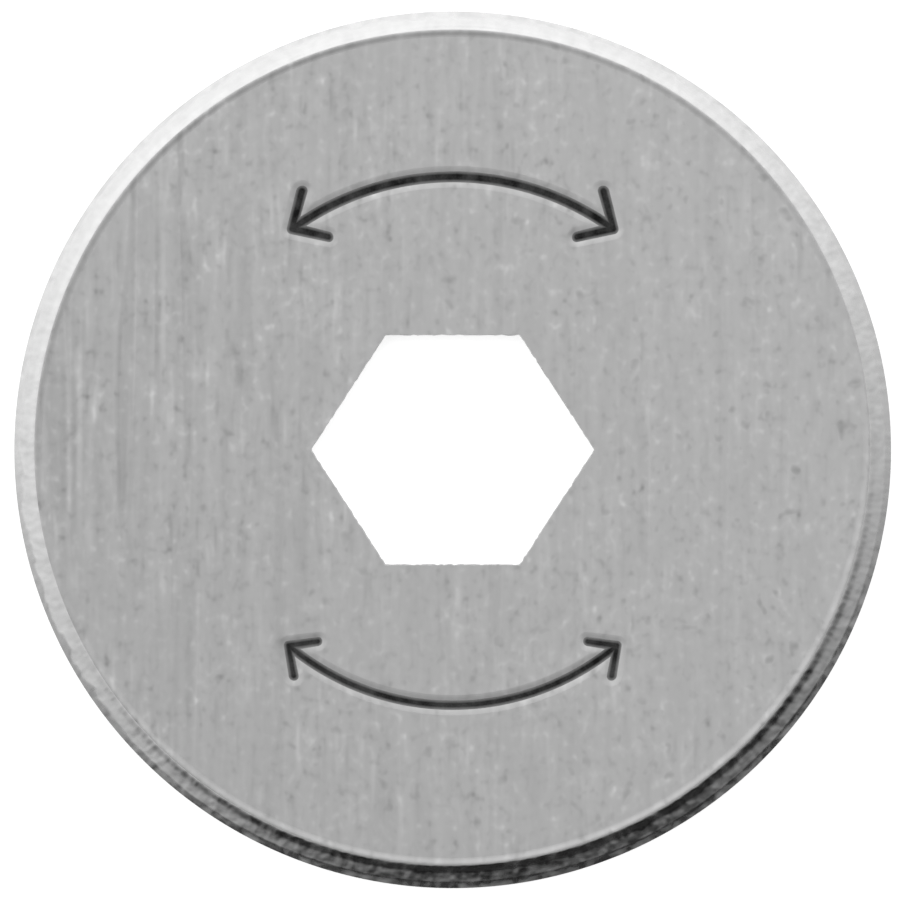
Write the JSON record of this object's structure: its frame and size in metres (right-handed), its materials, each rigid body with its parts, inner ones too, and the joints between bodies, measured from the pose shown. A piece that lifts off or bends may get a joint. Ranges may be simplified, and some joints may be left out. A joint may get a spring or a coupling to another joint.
{
  "type": "rotary cutter blade",
  "caption": "Thin round steel cutting disc with a hexagonal hole through its middle and a rim ground from both sides to a knife edge.",
  "frame": {"origin": "centre of the cutting edge's circle, on the blade's axis and halfway through its thickness", "axes": "+Z along the blade's axis, out of the face that lies upward; +X through one corner of the hexagonal hole; +Y square to two of the hole's flats"},
  "size_m": [0.018, 0.018, 0.0004],
  "materials": {
    "tool_steel": "brushed flat faces, ground rim"
  },
  "bodies": {
    "root": {"blade": "tool_steel"}
  },
  "joints": []
}
